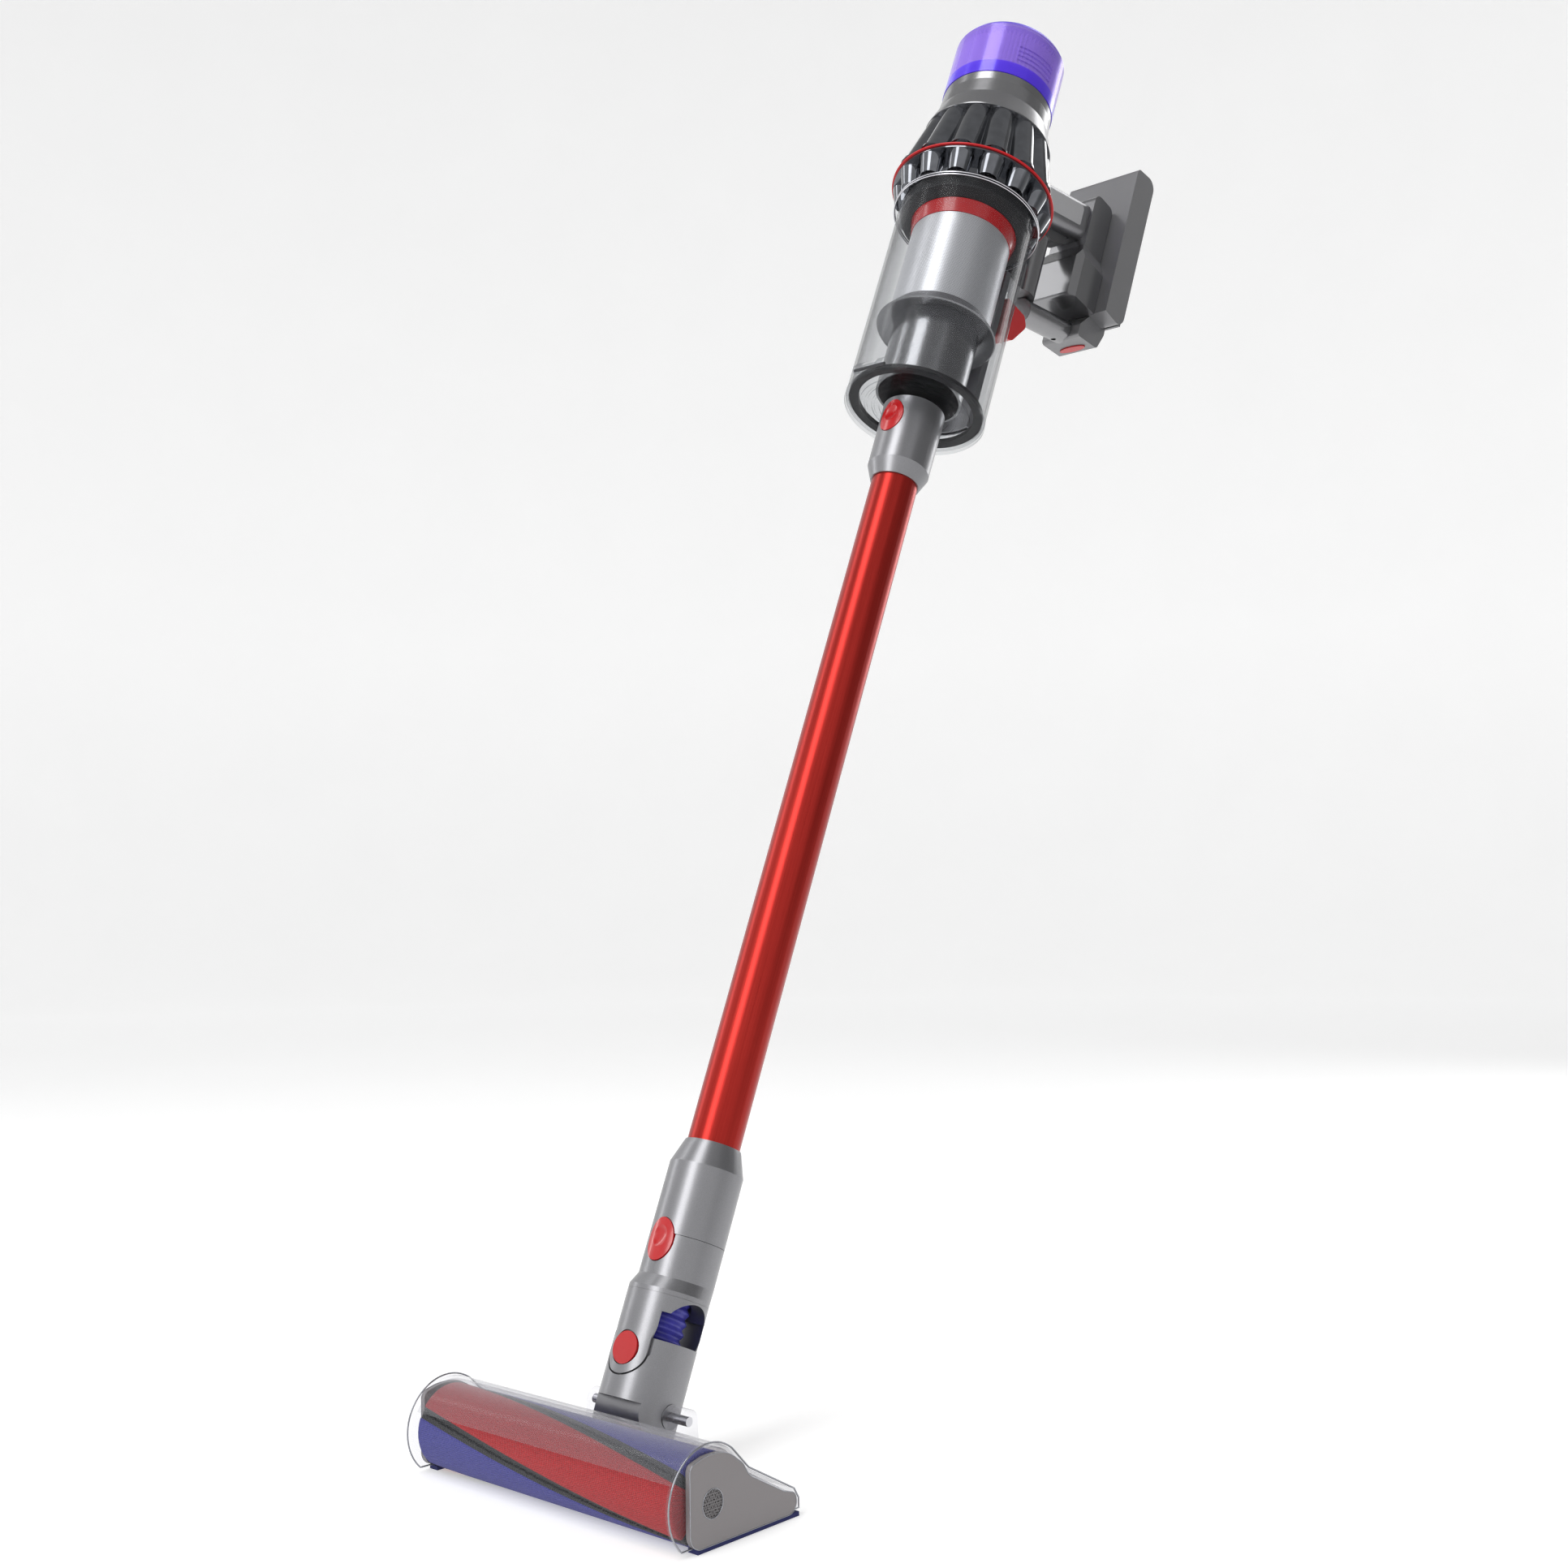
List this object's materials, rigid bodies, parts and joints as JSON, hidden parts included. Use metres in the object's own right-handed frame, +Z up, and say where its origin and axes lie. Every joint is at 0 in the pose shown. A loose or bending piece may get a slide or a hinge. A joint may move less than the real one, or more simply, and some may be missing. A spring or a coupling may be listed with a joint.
{
  "type": "cordless stick vacuum cleaner",
  "caption": "Stick vacuum cleaner: soft roller head, swivelling neck, metal wand, clear dust bin with cyclones, motor, filter, pistol handle and slide-on battery.",
  "frame": {"origin": "on the floor, at the middle of the sole that the head stands on", "axes": "+Z up, -Y the front of the head, +X to the right seen from behind the handle"},
  "size_m": [0.25, 0.7223, 1.1135],
  "materials": {
    "red_metal": "anodised",
    "grey_plastic": "fine metallic",
    "dark_plastic": "satin",
    "inlay_plastic": "satin",
    "plate_plastic": "satin",
    "clear_plastic": "polished",
    "red_plastic": "glossy",
    "violet_plastic": "metallic",
    "smoked_chrome": "metallised",
    "steel_mesh": "etched",
    "seal_rubber": "matt",
    "red_rubber": "matt",
    "hose_rubber": "satin",
    "roller_fabric": "plush",
    "felt": "felt",
    "steel": "machined",
    "copper_core": "wound",
    "filter_paper": "pleated",
    "cell_wrap": "shrink wrap",
    "board": "solder mask"
  },
  "bodies": {
    "main_body": {"shroud_mesh": "steel_mesh", "shroud_skirt": "grey_plastic", "shroud_ring": "red_plastic", "bin_top_seal": "seal_rubber", "cyclone_tips": "smoked_chrome", "cyclone_gasket": "red_rubber", "cyclone_bodies": "smoked_chrome", "motor_housing": "dark_plastic", "motor_stator": "copper_core", "motor_bearings": "steel", "motor_brackets": "dark_plastic", "control_face": "dark_plastic", "grip_shell_left": "dark_plastic", "grip_shell_right": "dark_plastic", "grip_inlays": "inlay_plastic", "control_board": "board", "trigger_pin": "steel", "handle_foot": "dark_plastic", "bin_runner": "dark_plastic", "front_strut": "dark_plastic"},
    "bin": {"dust_bin": "clear_plastic", "inlet_duct": "dark_plastic", "base_hinge_pin": "steel"},
    "bin_flap": {"bin_base": "clear_plastic", "bin_base_seal": "seal_rubber"},
    "bin_slider": {"bin_release_slider": "red_plastic"},
    "wand": {"wand_tube": "red_metal", "wand_lower_collar": "grey_plastic", "wand_upper_collar": "grey_plastic"},
    "wand_button": {"wand_release_button": "red_plastic"},
    "head_button": {"head_release_button": "red_plastic"},
    "connector": {"head_connector": "grey_plastic", "swivel_yoke": "grey_plastic", "swivel_pins": "steel", "swivel_caps": "red_plastic"},
    "neck": {"neck_tube": "grey_plastic", "neck_hose": "hose_rubber"},
    "head": {"head_housing": "clear_plastic", "tilt_pins": "steel", "sole_plate": "dark_plastic", "suction_duct": "grey_plastic", "felt_strip": "felt", "end_plate_right": "plate_plastic", "end_plate_left": "plate_plastic", "hub_discs": "dark_plastic", "roller_motor": "steel", "idler_axle": "steel"},
    "roller": {"roller_sleeve": "roller_fabric", "roller_core": "dark_plastic", "roller_hubs": "dark_plastic"},
    "filter": {"filter_shell": "violet_plastic", "filter_media": "filter_paper"},
    "rotor": {"motor_rotor": "steel", "impeller": "dark_plastic"},
    "trigger": {"trigger": "dark_plastic"},
    "mode_button": {"mode_button": "grey_plastic"},
    "battery": {"battery_case": "dark_plastic", "battery_lid": "dark_plastic", "battery_cells": "cell_wrap"},
    "battery_button": {"battery_release_button": "red_plastic"}
  },
  "joints": [
    {"name": "bin_slide", "type": "slide", "parent": "main_body", "child": "bin", "axis": [0, -0.3955, -0.9184], "range_m": [0, 0.035]},
    {"name": "bin_flap_hinge", "type": "hinge", "parent": "bin", "child": "bin_flap", "pos_m": [0, 0.26212, 0.78348], "axis": [-1, 0, 0], "range_deg": [0, 90]},
    {"name": "slider_pull", "type": "slide", "parent": "main_body", "child": "bin_slider", "axis": [0, -0.3955, -0.9184], "range_m": [0, 0.02], "stiffness_N_per_m": 150},
    {"name": "wand_pull", "type": "slide", "parent": "bin_flap", "child": "wand", "axis": [0, -0.3955, -0.9184], "range_m": [0, 0.03]},
    {"name": "wand_button_press", "type": "slide", "parent": "wand", "child": "wand_button", "axis": [0, 0.9184, -0.3955], "range_m": [0, 0.0018], "stiffness_N_per_m": 500},
    {"name": "head_button_press", "type": "slide", "parent": "wand", "child": "head_button", "axis": [0, 0.9184, -0.3955], "range_m": [0, 0.0018], "stiffness_N_per_m": 500},
    {"name": "head_pull", "type": "slide", "parent": "wand", "child": "connector", "axis": [0, -0.3955, -0.9184], "range_m": [0, 0.036]},
    {"name": "neck_swivel", "type": "hinge", "parent": "connector", "child": "neck", "pos_m": [0, 0.0207, 0.07576], "axis": [0, 0.9184, -0.3955], "range_deg": [-25, 25], "deforming": ["neck_hose"]},
    {"name": "neck_tilt", "type": "hinge", "parent": "neck", "child": "head", "pos_m": [0, 0.0102, 0.0438], "axis": [1, 0, 0], "range_deg": [-23, 52]},
    {"name": "roller_spin", "type": "hinge", "parent": "head", "child": "roller", "pos_m": [0, -0.052, 0.027], "axis": [1, 0, 0], "continuous": true},
    {"name": "filter_twist", "type": "hinge", "parent": "main_body", "child": "filter", "pos_m": [0, 0.4453, 1.05409], "axis": [0, 0.3955, 0.9184], "range_deg": [0, 30]},
    {"name": "motor_spin", "type": "hinge", "parent": "main_body", "child": "rotor", "pos_m": [0, 0.42552, 1.00817], "axis": [0, 0.3955, 0.9184], "continuous": true},
    {"name": "trigger_pull", "type": "hinge", "parent": "main_body", "child": "trigger", "pos_m": [0, 0.50644, 0.96346], "axis": [1, 0, 0], "range_deg": [0, 8], "stiffness_Nm_per_rad": 0.4},
    {"name": "mode_button_press", "type": "slide", "parent": "main_body", "child": "mode_button", "axis": [0, -0.3955, -0.9184], "range_m": [0, 0.0012], "stiffness_N_per_m": 500},
    {"name": "battery_slide", "type": "slide", "parent": "main_body", "child": "battery", "axis": [0, 0.9184, -0.3955], "range_m": [0, 0.03]},
    {"name": "battery_button_press", "type": "slide", "parent": "battery", "child": "battery_button", "axis": [0, 0.1772, 0.9842], "range_m": [0, 0.0025], "stiffness_N_per_m": 500}
  ]
}
